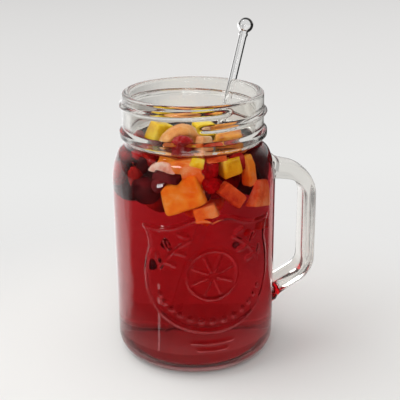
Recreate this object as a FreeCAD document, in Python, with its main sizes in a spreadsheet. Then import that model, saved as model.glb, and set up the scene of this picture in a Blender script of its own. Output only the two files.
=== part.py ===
"""A handled glass jar mug of fruit soda, with the fruit that floats in its neck and a ball-topped
glass stirrer.  Millimetres.  The origin is the middle of the foot, +Z is up, the handle points
along +X and the front face of the glass looks along -Y."""
import FreeCAD, Part
import os
import Sketcher

Vector = FreeCAD.Vector
doc = FreeCAD.newDocument("FruitSoda")

# ---------------------------------------------------------------- driving sizes
SIZES = [
    ("Glass: heights above the foot plane",),
    ("rim_height", 131.4, "top of the rim"),
    ("shoulder_height", 95.5, "corner of wall and shoulder, before rounding"),
    ("shoulder_top", 103.4, "corner of shoulder and waist cone"),
    ("waist_height", 106.2, "lower end of the waist under the bead"),
    ("bead_height", 112.3, "middle of the bead under the thread"),
    ("Glass: outer radii",),
    ("body_radius", 39.3, "widest, under the shoulder"),
    ("body_taper", 0.4, "how much narrower the wall is above the heel"),
    ("shoulder_drop", 3.4, "how far the shoulder has come in at shoulder_top"),
    ("neck_radius", 33.4, "outside of the neck"),
    ("waist_depth", 1.0, "groove of the waist below the neck's surface"),
    ("bead_rise", 1.6, "bead above the neck's surface"),
    ("bead_half", 1.3, "half the height of the bead's crest"),
    ("heel_radius", 10.0, "rounding of the heel"),
    ("shoulder_radius", 34.0, "long rounding of the shoulder"),
    ("Glass: walls and foot",),
    ("wall", 3.8, "side wall"),
    ("neck_wall", 3.7, "wall of the neck"),
    ("floor_thickness", 3.5, "bottom"),
    ("floor_radius", 6.8, "rounding inside the bottom"),
    ("foot_inset", 8.6, "standing ring, in from the wall"),
    ("foot_width", 2.6, "width of the standing ring"),
    ("push_up", 1.0, "hollow under the bottom"),
    ("rim_outer_radius", 1.3, "rounding of the rim, outside"),
    ("rim_inner_radius", 2.2, "rounding of the rim, inside"),
    ("Screw thread",),
    ("thread_section", 1.5, "radius of the round ridge"),
    ("thread_rise", 1.6, "crest above the neck's surface"),
    ("thread_pitch", 6.35, "rise in one turn"),
    ("thread_start", 120.8, "height of the lower end"),
    ("thread_length", 6.9, "rise from end to end"),
    ("thread_turn", -100.0, "degrees from +X to the lower end"),
    ("Handle, in the plane y = 0",),
    ("handle_reach", 61.3, "outer face of the strap from the axis"),
    ("strap", 7.3, "thickness of the strap"),
    ("handle_width", 14.0, "across the strap"),
    ("handle_rounding", 3.1, "rounding along its edges"),
    ("arm_root_top", 96.4, "top of the upper arm at its root"),
    ("arm_corner_top", 91.3, "outer corner of the upper arm"),
    ("arm_height", 9.4, "upper arm, top to underside"),
    ("heel_root_bottom", 21.1, "underside of the lower arm at its root"),
    ("heel_corner_bottom", 32.4, "outer corner of the lower arm"),
    ("heel_height", 7.9, "lower arm, underside to top"),
    ("upper_bend", 18.0, "outer bend, above"),
    ("lower_bend", 15.0, "outer bend, below"),
    ("inner_bend", 8.0, "inner bends"),
    ("Contents",),
    ("drink_level", 109.0, "surface of the drink"),
    ("fruit_clearance", 0.6, "fruit to the glass"),
    ("Stirrer",),
    ("stirrer_radius", 2.0, "rod"),
    ("stirrer_ball", 3.9, "radius of the ball"),
    ("stirrer_reach", 162.1, "rod, from its tip to the middle of the ball"),
    ("stirrer_foot", 18.7, "its tip, out from the axis"),
    ("stirrer_turn", 34.4, "degrees from +X to the side it leans to"),
    ("stirrer_clearance", 0.15, "rod to the rim"),
]

sheet = doc.addObject("Spreadsheet::Sheet", "Sizes")


def fill_sheet(rows):
    """Write one row for each size: its name, its value under that name as alias, and a note."""
    for number, row in enumerate(rows, start=1):
        sheet.set("A%d" % number, row[0])
        if len(row) > 1:
            sheet.set("B%d" % number, repr(row[1]))
            sheet.setAlias("B%d" % number, row[0])
            sheet.set("C%d" % number, row[2])


# Each fruit: where its middle floats, as shares of the bore's radius, how far its middle is above
# the surface, its length, width and height, and its turns about Z, Y and X in degrees.
FRUIT = {
    "mango_left": dict(kind="chunk", place=(-0.53, 0.10, 2.6), size=(10.5, 9.5, 10.0), turn=(20, 14, 8)),
    "mango_right": dict(kind="chunk", place=(0.24, 0.27, 0.8), size=(11.5, 9.0, 9.0), turn=(8, -6, 10)),
    "melon_wedge": dict(kind="wedge", place=(-0.26, -0.24, -2.4), size=(11.0, 4.0, 54.0), turn=(10, 6, 12)),
    "peach_chunk": dict(kind="chunk", place=(0.44, -0.50, 1.6), size=(14.5, 9.0, 8.5), turn=(-6, 5, 14)),
    "raspberry": dict(kind="berry", place=(-0.32, -0.70, 2.6), size=(5.6, 4.4, 1.75), turn=(15, 80, 0)),
    "apple_cube": dict(kind="chunk", place=(0.02, -0.66, 2.0), size=(7.2, 7.0, 7.6), turn=(24, 8, -10)),
    "strawberry": dict(kind="half", place=(-0.76, 0.20, -0.6), size=(6.0, 9.0, 4.0), turn=(70, 0, -30)),
}
NOTES = ("length or radius", "width, thickness or radius", "height, angle or bump radius")
for fruit, data in FRUIT.items():
    SIZES.append((fruit.replace("_", " ").capitalize(),))
    for axis, value in zip("xyz", data["place"]):
        SIZES.append(("%s_%s" % (fruit, axis), value, "place of its middle"))
    for number, value in enumerate(data["size"]):
        SIZES.append(("%s_size_%s" % (fruit, "abc"[number]), value, NOTES[number]))
fill_sheet(SIZES)
doc.recompute()


def value(expression):
    """What an expression over the sheet's names comes to now."""
    return float(sheet.evalExpression(bound(expression)))


def bound(expression):
    """The same expression with each of the sheet's names written as Sizes.name."""
    words = ""
    name = ""
    for letter in expression + " ":
        if letter.isalnum() or letter == "_":
            name += letter
            continue
        words += ("Sizes." + name if name in ALIASES else name) + letter
        name = ""
    return words.strip()


ALIASES = {row[0] for row in SIZES if len(row) > 1}


# ---------------------------------------------------------------- helpers
def plane_of(body, role):
    return [item for item in body.Origin.OriginFeatures if item.Role == role][0]


def new_sketch(body, name, role="XZ_Plane"):
    sketch = body.newObject("Sketcher::SketchObject", name)
    sketch.AttachmentSupport = [(plane_of(body, role), "")]
    sketch.MapMode = "FlatFace"
    return sketch


def pin_point(sketch, geometry, point, name, across, up):
    """Hold one point of a sketch at (across, up); both are expressions over the sheet."""
    for kind, axis, expression in (("DistanceX", -2, across), ("DistanceY", -1, up)):
        if expression == "0":
            sketch.addConstraint(Sketcher.Constraint("PointOnObject", geometry, point, axis))
            continue
        number = sketch.addConstraint(
            Sketcher.Constraint(kind, -1, 1, geometry, point, value(expression)))
        label = name + kind[-1]
        sketch.renameConstraint(number, label)
        sketch.setExpression("Constraints." + label, bound(expression))


def polygon(sketch, corners):
    """A closed outline of straight lines through the corners, each held by expressions."""
    points = [Vector(value(across), value(up), 0) for across, up in corners]
    count = len(points)
    for number in range(count):
        sketch.addGeometry(Part.LineSegment(points[number], points[(number + 1) % count]), False)
    for number in range(count):
        sketch.addConstraint(Sketcher.Constraint("Coincident", number, 2, (number + 1) % count, 1))
    for number, (across, up) in enumerate(corners):
        pin_point(sketch, number, 1, "corner%d" % number, across, up)


def turned_body(name, corners):
    """A body of revolution about Z from a closed outline of (radius, height) corners."""
    body = doc.addObject("PartDesign::Body", name)
    sketch = new_sketch(body, name + "_outline")
    polygon(sketch, corners)
    turn = body.newObject("PartDesign::Revolution", name + "_turn")
    turn.Profile = sketch
    turn.ReferenceAxis = (sketch, ["V_Axis"])
    turn.Angle = 360.0
    body.Tip = turn
    doc.recompute()
    return body


def round_edges(body, name, radius, wanted):
    """A PartDesign fillet on the edges of the body's tip that wanted(edge) picks."""
    base = body.Tip
    names = ["Edge%d" % (number + 1) for number, edge in enumerate(base.Shape.Edges) if wanted(edge)]
    if not names:
        raise RuntimeError("no edge for " + name)
    fillet = body.newObject("PartDesign::Fillet", name)
    fillet.Base = (base, names)
    fillet.setExpression("Radius", bound(radius))
    body.Tip = fillet
    doc.recompute()
    return fillet


def ring(radius, height):
    """Picks the round edge at this radius and height."""
    where = (value(radius), value(height))

    def wanted(edge):
        if not isinstance(edge.Curve, Part.Circle):
            return False
        return abs(edge.Curve.Radius - where[0]) < 0.01 and abs(edge.Curve.Center.z - where[1]) < 0.01
    return wanted


def combine(kind, name, base, tool):
    result = doc.addObject(kind, name)
    result.Base = base
    result.Tool = tool
    return result


def primitive(kind, name, placement, **sizes):
    """A Part primitive with its sizes and its placement bound to the sheet."""
    item = doc.addObject(kind, name)
    for key, expression in sizes.items():
        item.setExpression(key, bound(expression))
    for key, expression in placement.items():
        item.setExpression("Placement." + key, bound(expression))
    return item


# ---------------------------------------------------------------- glass
def glass_outside():
    """The outside of the jar as one turned solid, filled up to its rim."""
    low = "body_radius - body_taper"
    foot = "body_radius - foot_inset"
    waist = "neck_radius - waist_depth"
    crest = "neck_radius + bead_rise"
    corners = [
        ("0", "push_up"),
        (foot + " - foot_width - push_up", "push_up"),
        (foot + " - foot_width", "0"),
        (low, "0"),
        (low, "heel_radius * 1.5"),
        ("body_radius", "shoulder_height"),
        ("body_radius - shoulder_drop", "shoulder_top"),
        (waist, "waist_height"),
        (waist, "bead_height - bead_half - bead_rise - waist_depth"),
        (crest, "bead_height - bead_half"),
        (crest, "bead_height + bead_half"),
        ("neck_radius", "bead_height + bead_half + bead_rise"),
        ("neck_radius", "rim_height"),
        ("0", "rim_height"),
    ]
    body = turned_body("glass_outside", corners)
    round_edges(body, "shoulder_rounding", "shoulder_radius", ring("body_radius", "shoulder_height"))
    round_edges(body, "heel_rounding", "heel_radius", ring(low, "0"))
    round_edges(body, "waist_cone_rounding", "wall * 1.5",
                ring("body_radius - shoulder_drop", "shoulder_top"))
    round_edges(body, "waist_rounding", "waist_depth * 1.6", ring(waist, "waist_height"))
    for name, height in (("low", "bead_height - bead_half"), ("high", "bead_height + bead_half")):
        round_edges(body, "bead_rounding_" + name, "bead_half * 0.9", ring(crest, height))
    round_edges(body, "rim_outer_rounding", "rim_outer_radius", ring("neck_radius", "rim_height"))
    return body


def glass_inside():
    """All that the glass is hollow for, turned; above the rim it spreads to round the rim's edge."""
    bore = "neck_radius - neck_wall"
    side = "body_radius - wall"
    low = "body_radius - wall - body_taper"
    corners = [
        ("0", "floor_thickness"),
        (low, "floor_thickness"),
        (low, "floor_thickness + floor_radius * 1.5"),
        (side, "shoulder_height - wall * 0.6"),
        (bore, "waist_height - wall * 0.7"),
        (bore, "rim_height"),
        ("neck_radius * 1.2", "rim_height"),
        ("neck_radius * 1.2", "rim_height + wall"),
        ("0", "rim_height + wall"),
    ]
    body = turned_body("glass_inside", corners)
    round_edges(body, "floor_rounding", "floor_radius", ring(low, "floor_thickness"))
    round_edges(body, "inner_shoulder_rounding", "shoulder_radius * 0.4",
                ring(side, "shoulder_height - wall * 0.6"))
    round_edges(body, "inner_waist_rounding", "wall * 1.6", ring(bore, "waist_height - wall * 0.7"))
    round_edges(body, "rim_inner_rounding", "rim_inner_radius", ring(bore, "rim_height"))
    return body


def screw_thread():
    """A round ridge wound about the neck, a little over one turn."""
    body = doc.addObject("PartDesign::Body", "screw_thread")
    sketch = new_sketch(body, "thread_section_outline")
    middle = "neck_radius + thread_rise - thread_section"
    sketch.addGeometry(Part.Circle(Vector(value(middle), 0, 0), Vector(0, 0, 1),
                                   value("thread_section")), False)
    pin_point(sketch, 0, 3, "middle", middle, "0")
    number = sketch.addConstraint(Sketcher.Constraint("Radius", 0, value("thread_section")))
    sketch.renameConstraint(number, "section")
    sketch.setExpression("Constraints.section", bound("thread_section"))
    helix = body.newObject("PartDesign::AdditiveHelix", "thread_helix")
    helix.Profile = sketch
    helix.ReferenceAxis = (sketch, ["V_Axis"])
    helix.Mode = "pitch-height-angle"
    helix.setExpression("Pitch", bound("thread_pitch"))
    helix.setExpression("Height", bound("thread_length"))
    body.Tip = helix
    body.setExpression("Placement.Base.z", bound("thread_start"))
    body.setExpression("Placement.Rotation.Yaw", bound("thread_turn"))
    doc.recompute()
    return body


def along_y(edge):
    """Picks straight edges parallel to Y."""
    if not isinstance(edge.Curve, (Part.Line, Part.LineSegment)):
        return False
    return abs(edge.tangentAt(edge.FirstParameter).y) > 0.999


def corner_edge(across, up):
    """Picks the edge along Y that runs through this corner of the handle's outline."""
    where = (value(across), value(up))

    def wanted(edge):
        middle = edge.BoundBox.Center
        return along_y(edge) and abs(middle.x - where[0]) < 0.01 and abs(middle.z - where[1]) < 0.01
    return wanted


def handle():
    """A bent strap: its C outline is padded both ways and all its edges are rounded."""
    root = "body_radius - wall * 0.7"
    inside = "handle_reach - strap"
    slope_top = "(arm_root_top - arm_corner_top) / (handle_reach - (%s)) * strap" % root
    slope_low = "(heel_corner_bottom - heel_root_bottom) / (handle_reach - (%s)) * strap" % root
    under = "arm_corner_top - arm_height + " + slope_top
    over = "heel_corner_bottom + heel_height - " + slope_low
    corners = [
        (root, "arm_root_top"),
        ("handle_reach", "arm_corner_top"),
        ("handle_reach", "heel_corner_bottom"),
        (root, "heel_root_bottom"),
        (root, "heel_root_bottom + heel_height"),
        (inside, over),
        (inside, under),
        (root, "arm_root_top - arm_height"),
    ]
    body = doc.addObject("PartDesign::Body", "handle")
    sketch = new_sketch(body, "handle_outline")
    polygon(sketch, corners)
    pad = body.newObject("PartDesign::Pad", "handle_pad")
    pad.Profile = sketch
    pad.SideType = "Symmetric"
    pad.setExpression("Length", bound("handle_width"))
    body.Tip = pad
    doc.recompute()
    round_edges(body, "upper_outer_bend", "upper_bend", corner_edge("handle_reach", "arm_corner_top"))
    round_edges(body, "lower_outer_bend", "lower_bend",
                corner_edge("handle_reach", "heel_corner_bottom"))
    round_edges(body, "upper_inner_bend", "inner_bend", corner_edge(inside, under))
    round_edges(body, "lower_inner_bend", "inner_bend", corner_edge(inside, over))
    root_x = value(root)
    half = value("handle_width") / 2

    def long_edge(edge):
        box = edge.BoundBox
        return abs(abs(box.Center.y) - half) < 0.01 and box.YLength < 0.01 and box.XMax > root_x + 0.01
    round_edges(body, "handle_edge_rounding", "handle_rounding", long_edge)
    return body


inside = glass_inside()
outer_pieces = doc.addObject("Part::MultiFuse", "glass_blank")
outer_pieces.Shapes = [glass_outside(), screw_thread(), handle()]
mug = combine("Part::Cut", "glass_mug", outer_pieces, inside)


# ---------------------------------------------------------------- stirrer
def stirrer():
    """A straight rod with a round tip and a ball, leaning from the floor against the rim.  The
    lean is the one at which the rod touches the circle that rounds the rim's inner edge."""
    across = "(neck_radius - neck_wall + rim_inner_radius + stirrer_foot)"
    up = "(rim_height - rim_inner_radius - floor_thickness - stirrer_radius)"
    gap = "(stirrer_radius + rim_inner_radius + stirrer_clearance)"
    lean = "acos(%s / sqrt(%s^2 + %s^2)) - atan2(%s; %s)" % (gap, across, up, up, across)
    side = "cos(stirrer_turn * 1 deg)"
    depth = "sin(stirrer_turn * 1 deg)"
    tip = {"x": "0 - stirrer_foot * " + side, "y": "0 - stirrer_foot * " + depth,
           "z": "floor_thickness + stirrer_radius"}
    ball = {"x": "(%s) + stirrer_reach * sin(%s) * %s" % (tip["x"], lean, side),
            "y": "(%s) + stirrer_reach * sin(%s) * %s" % (tip["y"], lean, depth),
            "z": "(%s) + stirrer_reach * cos(%s)" % (tip["z"], lean)}
    at_tip = {"Base." + axis: tip[axis] for axis in "xyz"}
    at_ball = {"Base." + axis: ball[axis] for axis in "xyz"}
    rod_turn = {"Rotation.Yaw": "stirrer_turn", "Rotation.Pitch": lean}
    rod = primitive("Part::Cylinder", "stirrer_rod", {**at_tip, **rod_turn},
                    Radius="stirrer_radius", Height="stirrer_reach")
    end = primitive("Part::Sphere", "stirrer_tip", {**at_tip, **rod_turn}, Radius="stirrer_radius")
    knob = primitive("Part::Sphere", "stirrer_knob", {**at_ball, **rod_turn}, Radius="stirrer_ball")
    whole = doc.addObject("Part::MultiFuse", "stirrer")
    whole.Shapes = [rod, end, knob]
    return whole


stick = stirrer()


# ---------------------------------------------------------------- floating fruit
def fruit_placement(name, data):
    """Bind a fruit's middle to the sheet and give it its turns."""
    bore = "(neck_radius - neck_wall)"
    place = {"Base.x": "%s_x * %s" % (name, bore), "Base.y": "%s_y * %s" % (name, bore),
             "Base.z": "drink_level + %s_z" % name}
    yaw, pitch, roll = data["turn"]
    place.update({"Rotation.Yaw": str(yaw), "Rotation.Pitch": str(pitch), "Rotation.Roll": str(roll)})
    return place


def place_body(item, placement):
    for key, expression in placement.items():
        item.setExpression("Placement." + key, bound(expression))


def chunk(name, placement):
    """A knife-cut block whose top is a little smaller than its foot, with softened edges."""
    body = doc.addObject("PartDesign::Body", name + "_body")
    sketch = new_sketch(body, name + "_outline", "XY_Plane")
    half_length = name + "_size_a / 2"
    half_width = name + "_size_b / 2"
    polygon(sketch, [("0 - " + half_length, "0 - %s * 0.92" % half_width),
                     (half_length + " * 0.94", "0 - " + half_width),
                     (half_length, half_width + " * 0.9"),
                     ("0 - %s * 0.9" % half_length, half_width)])
    pad = body.newObject("PartDesign::Pad", name + "_pad")
    pad.Profile = sketch
    pad.SideType = "Symmetric"
    pad.setExpression("Length", bound(name + "_size_c"))
    pad.TaperAngle = -4.0
    body.Tip = pad
    doc.recompute()
    round_edges(body, name + "_rounding", name + "_size_c * 0.13", lambda edge: True)
    place_body(body, placement)
    return body


def wedge(name, placement):
    """A slice of a round fruit, its core line along X and its skin up: a half disc with the core's
    hollow taken out of it, turned about that line half its angle to each side."""
    body = doc.addObject("PartDesign::Body", name + "_body")
    sketch = new_sketch(body, name + "_outline")
    half_turn = 3.14159265
    radii = (name + "_size_a", name + "_size_b")
    for number, (radius, label) in enumerate(zip(radii, ("reach", "hollow"))):
        circle = Part.Circle(Vector(), Vector(0, 0, 1), value(radius))
        sketch.addGeometry(Part.ArcOfCircle(circle, 0.0, half_turn), False)
        sketch.addConstraint(Sketcher.Constraint("Coincident", number, 3, -1, 1))
        sketch.addConstraint(Sketcher.Constraint("PointOnObject", number, 1, -1))
        sketch.addConstraint(Sketcher.Constraint("PointOnObject", number, 2, -1))
        index = sketch.addConstraint(Sketcher.Constraint("Radius", number, value(radius)))
        sketch.renameConstraint(index, label)
        sketch.setExpression("Constraints." + label, bound(radius))
    for point, side in ((1, 1), (2, -1)):
        ends = [Vector(side * value(radius), 0, 0) for radius in radii]
        line = sketch.addGeometry(Part.LineSegment(ends[0], ends[1]), False)
        sketch.addConstraint(Sketcher.Constraint("Coincident", line, 1, 0, point))
        sketch.addConstraint(Sketcher.Constraint("Coincident", line, 2, 1, point))
    turn = body.newObject("PartDesign::Revolution", name + "_turn")
    turn.Profile = sketch
    turn.ReferenceAxis = (sketch, ["H_Axis"])
    turn.Midplane = True
    turn.setExpression("Angle", bound(name + "_size_c"))
    body.Tip = turn
    doc.recompute()
    place_body(body, placement)
    return body


def berry(name, placement):
    """A raspberry: rings of round drupelets about a blunt cone, each ring half a step on."""
    length, girth, bump = (value("%s_size_%s" % (name, letter)) for letter in "abc")
    rings = ((-0.62, 0.70, 8), (-0.12, 0.98, 10), (0.42, 0.84, 9), (0.88, 0.45, 5))
    solids = [Part.makeSphere(girth * 0.86)]
    solids[0].translate(Vector(0, 0, length * 0.05))
    for step, (height, spread, count) in enumerate(rings):
        for number in range(count):
            around = 360.0 / count * (number + 0.5 * (step % 2))
            drupelet = Part.makeSphere(bump)
            drupelet.translate(Vector((girth - bump * 0.45) * spread, 0, height * length * 0.62))
            drupelet.rotate(Vector(), Vector(0, 0, 1), around)
            solids.append(drupelet)
    body = doc.addObject("Part::Feature", name + "_body")
    body.Shape = solids[0].multiFuse(solids[1:])
    place_body(body, placement)
    return body


def half_berry(name, placement):
    """Half a strawberry: a turned drop shape cut down its middle."""
    body = doc.addObject("PartDesign::Body", name + "_body")
    sketch = new_sketch(body, name + "_outline")
    radius = name + "_size_a"
    length = name + "_size_b"
    polygon(sketch, [("0", "0 - %s / 2" % length),
                     (radius + " * 0.55", "0 - %s * 0.34" % length),
                     (radius + " * 0.98", length + " * 0.12"),
                     (radius + " * 0.80", length + " * 0.36"),
                     (radius + " * 0.35", length + " * 0.5"),
                     ("0", length + " * 0.45")])
    turn = body.newObject("PartDesign::Revolution", name + "_turn")
    turn.Profile = sketch
    turn.ReferenceAxis = (sketch, ["V_Axis"])
    turn.Angle = 180.0
    body.Tip = turn
    doc.recompute()
    place_body(body, placement)
    return body


MAKERS = {"chunk": chunk, "wedge": wedge, "berry": berry, "half": half_berry}


def floating_fruit():
    """Each piece keeps inside the bore and gives way to the stirrer and the pieces before it."""
    bore = primitive("Part::Cylinder", "fruit_bore", {}, Height="rim_height",
                     Radius="neck_radius - neck_wall - fruit_clearance")
    placed = [stick]
    for name, data in FRUIT.items():
        body = MAKERS[data["kind"]](name, fruit_placement(name, data))
        kept = combine("Part::Common", name + "_kept", body, bore)
        before = doc.addObject("Part::Compound", name + "_before")
        before.Links = list(placed)
        placed.append(combine("Part::Cut", name, kept, before))
    return placed


in_the_drink = floating_fruit()

# ---------------------------------------------------------------- drink
depth = primitive("Part::Cylinder", "drink_depth", {}, Height="drink_level", Radius="body_radius")
filling = combine("Part::Common", "drink_filling", inside, depth)
drink = filling
for piece in in_the_drink:
    drink = combine("Part::Cut", "drink_round_" + piece.Label, drink, piece)
drink.Label = "drink"
doc.recompute()

# ---------------------------------------------------------------- checks and export
for item in doc.Objects:
    if "Invalid" in item.State or "Error" in item.State:
        raise RuntimeError("failed object: %s %s" % (item.Name, item.State))
os.makedirs("parts", exist_ok=True)
for piece in [mug, drink] + in_the_drink:
    shape = piece.Shape
    if shape.isNull() or not shape.isValid() or len(shape.Solids) != 1:
        raise RuntimeError("bad shape: %s, %d solids" % (piece.Label, len(shape.Solids)))
    print("%-14s %10.1f mm3  %s" % (piece.Label, shape.Volume, shape.BoundBox))
for piece in [mug, drink] + in_the_drink:
    piece.Shape.exportStep("parts/%s.step" % piece.Label)
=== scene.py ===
"""Fruit soda in a handled jar mug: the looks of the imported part.

A clear pressed-glass jar mug holds a red fruit soda.  Cut fruit crowds its upper third and stands
out of the surface, and a clear ball-topped stirrer leans against the rim.  Every surface is worked
out in millimetres and written to its mesh in metres."""
import math

import bpy
import numpy as np
from mathutils import Matrix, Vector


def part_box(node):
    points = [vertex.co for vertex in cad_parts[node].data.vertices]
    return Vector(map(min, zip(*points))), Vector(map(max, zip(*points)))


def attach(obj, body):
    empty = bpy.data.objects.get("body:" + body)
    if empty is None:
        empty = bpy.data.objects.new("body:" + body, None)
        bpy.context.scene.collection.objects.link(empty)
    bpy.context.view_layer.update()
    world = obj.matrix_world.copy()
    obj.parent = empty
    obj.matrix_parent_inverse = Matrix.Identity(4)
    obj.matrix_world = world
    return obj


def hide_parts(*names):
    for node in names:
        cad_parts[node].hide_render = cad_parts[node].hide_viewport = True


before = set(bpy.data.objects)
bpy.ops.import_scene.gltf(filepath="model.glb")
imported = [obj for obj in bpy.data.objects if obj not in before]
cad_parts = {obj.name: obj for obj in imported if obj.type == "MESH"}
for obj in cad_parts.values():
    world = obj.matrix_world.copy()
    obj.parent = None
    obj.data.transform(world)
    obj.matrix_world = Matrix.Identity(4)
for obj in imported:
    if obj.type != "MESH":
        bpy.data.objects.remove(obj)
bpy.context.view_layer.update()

bl_info = {
    "name": "Fruit Soda Jar Mug",
    "version": (1, 0, 0),
    "blender": (4, 5, 0),
    "location": "View3D > Sidebar > Soda",
    "description": "Builds a jar mug of fruit soda, piece by piece, round its packed frame",
    "category": "Object",
}

MM = 0.001  # a millimetre in metres


def node_box(node):
    """Lowest and highest corner of a CAD node, in millimetres."""
    low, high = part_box(node)
    return np.array(low) / MM, np.array(high) / MM


MUG_HIGH = node_box("glass_mug")[1]
DRINK_LOW, DRINK_HIGH = node_box("drink")
STICK_LOW, STICK_HIGH = node_box("stirrer")


# ------------------------------------------------------------------ sizes and colours a user may set
def measure(name, default, description):
    """A number from 0 up that a user may change."""
    return bpy.props.FloatProperty(name=name, default=default, description=description, min=0.0)


def colour(name, code, description):
    """A colour, in sRGB hex, that a user may change."""
    return bpy.props.StringProperty(name=name, default=code, description=description)


class SODA_PG_glass(bpy.types.PropertyGroup):
    """Sizes of the jar mug, in millimetres."""
    rim_height: measure("Rim height", float(MUG_HIGH[2]), "Top of the rim")
    body_radius: measure("Body radius", float(MUG_HIGH[1]), "Widest radius, under the shoulder")
    reach: measure("Handle reach", float(MUG_HIGH[0]), "Outer face of the strap from the axis")
    wall: measure("Wall", float(MUG_HIGH[1] - DRINK_HIGH[1]), "Thickness of the side wall")
    floor: measure("Floor", float(DRINK_LOW[2]), "Thickness of the bottom")
    neck_radius: measure("Neck radius", 33.4, "Outside of the neck")
    neck_wall: measure("Neck wall", 3.7, "Thickness of the neck")
    thread_rise: measure("Thread rise", 1.6, "Screw thread above the neck")
    relief: measure("Relief", 0.8, "Height of the raised design")
    tint: colour("Glass", "F1EFEA", "Soda-lime glass, very slightly warm in its edges")


class SODA_PG_drink(bpy.types.PropertyGroup):
    """The soda: its level and what it takes out of light."""
    level: measure("Level", float(DRINK_HIGH[2]), "Height of the surface, mm")
    red_loss: measure("Red loss", 11.5, "Red light taken out, per metre")
    green_loss: measure("Green loss", 70.0, "Green light taken out, per metre")
    blue_loss: measure("Blue loss", 63.0, "Blue light taken out, per metre")


class SODA_PG_fruit(bpy.types.PropertyGroup):
    """Main colours of the fruit, sRGB hex."""
    mango: colour("Mango", "FFDA28", "Ripe mango flesh")
    melon: colour("Melon", "F0A458", "Pale melon flesh")
    peach: colour("Peach", "F2A43C", "Peach flesh")
    papaya: colour("Papaya", "FF9238", "Orange papaya flesh")
    apple: colour("Apple", "F3A566", "Soaked apple flesh")
    raspberry: colour("Raspberry", "B80A12", "Raspberry skin")
    strawberry: colour("Strawberry", "B01E18", "Strawberry flesh")
    plum: colour("Plum", "5A181C", "Plum skin")


# ------------------------------------------------------------------ numpy helpers
def smooth(low, high, value):
    """0 below low, 1 above high, and the S-shaped cubic 3t^2 - 2t^3 between them."""
    share = np.clip((value - low) / (high - low), 0.0, 1.0)
    return share * share * (3.0 - 2.0 * share)


def rounded_path(corners):
    """A smooth open path through corners of (x, y, radius, step).  Each corner is replaced by the
    arc of its radius that touches both straight stretches, in turns of about 7 degrees, and each
    straight stretch that leads to a corner is divided into spans of about its step."""
    arc_step = 7.0
    corners = [(np.array(corner[:2], float), corner[2], corner[3]) for corner in corners]
    path = [corners[0][0]]
    for number in range(1, len(corners)):
        point, radius, step = corners[number]
        arc = [point]
        if radius > 0.0 and number + 1 < len(corners):
            before = corners[number - 1][0] - point
            after = corners[number + 1][0] - point
            before /= np.linalg.norm(before)
            after /= np.linalg.norm(after)
            half = 0.5 * math.acos(np.clip(np.dot(before, after), -1.0, 1.0))
            tangent = radius / math.tan(half)
            middle = point + (before + after) / np.linalg.norm(before + after) * radius / math.sin(half)
            start = point + before * tangent - middle
            end = point + after * tangent - middle
            turn = math.pi - 2.0 * half
            count = max(2, int(math.degrees(turn) / arc_step) + 1)
            share = np.linspace(0.0, 1.0, count + 1)[:, None]
            arc = list(middle + (np.sin((1 - share) * turn) * start + np.sin(share * turn) * end)
                       / math.sin(turn))
        last = path[-1]
        spans = max(1, int(np.linalg.norm(arc[0] - last) / step + 0.5))
        path += [last + (arc[0] - last) * (k / spans) for k in range(1, spans)]
        path += arc
    return np.array(path)


def rotation(yaw, pitch, roll):
    """Turns about X, then Y, then Z, in degrees, as a 3 by 3 matrix."""
    yaw, pitch, roll = (math.radians(angle) for angle in (yaw, pitch, roll))
    about_z = np.array([[math.cos(yaw), -math.sin(yaw), 0], [math.sin(yaw), math.cos(yaw), 0], [0, 0, 1]])
    about_y = np.array([[math.cos(pitch), 0, math.sin(pitch)], [0, 1, 0],
                        [-math.sin(pitch), 0, math.cos(pitch)]])
    about_x = np.array([[1, 0, 0], [0, math.cos(roll), -math.sin(roll)],
                        [0, math.sin(roll), math.cos(roll)]])
    return about_z @ about_y @ about_x


def ripple(points, size, seed, octaves=3):
    """Smooth wandering values of about -1 to 1: sines along random directions, each octave half as
    long and half as strong, where size is the longest wave in millimetres."""
    draw = np.random.default_rng(seed)
    total = np.zeros(points.shape[:-1])
    waves, last_phase, evening = 4, 6.28, 3.0
    for octave in range(octaves):
        for _ in range(waves):
            way = draw.normal(size=3)
            way *= 2.0 * math.pi * 2 ** octave / (size * np.linalg.norm(way))
            total += np.sin(points @ way + draw.uniform(0.0, last_phase)) * 0.5 ** octave / evening
    return total


def round_z(radius, angle, height):
    """Points at a radius and a height, turned by the angle from +X towards +Y."""
    return np.stack(np.broadcast_arrays(radius * np.cos(angle), radius * np.sin(angle), height), -1)


def from_front(radius, angle, height):
    """Points at a radius and a height, turned by the angle from -Y towards +X."""
    return np.stack(np.broadcast_arrays(radius * np.sin(angle), -radius * np.cos(angle), height), -1)


def whole_turn(count):
    """A count of angles, evenly spaced round a circle."""
    return np.linspace(0.0, 2.0 * math.pi, count, endpoint=False)


def turned_about(section, count):
    """A section of (radius, height) turned about Z: a row of that many points for each of its
    points."""
    return round_z(section[:, :1], whole_turn(count)[None], section[:, 1:])


def placed(local, turn, middle):
    """Local points turned by yaw, pitch and roll and moved to their middle."""
    return local @ rotation(*turn).T + np.array(middle)


def grid_faces(rows, columns, wrap=True):
    """Quads of a grid of points, the columns joined end to end where it wraps."""
    row, column = np.meshgrid(np.arange(rows - 1), np.arange(columns if wrap else columns - 1),
                              indexing="ij")
    beside = (column + 1) % columns
    faces = np.stack([row * columns + column, row * columns + beside,
                      (row + 1) * columns + beside, (row + 1) * columns + column], axis=-1)
    return faces.reshape(-1, 4)


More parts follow.
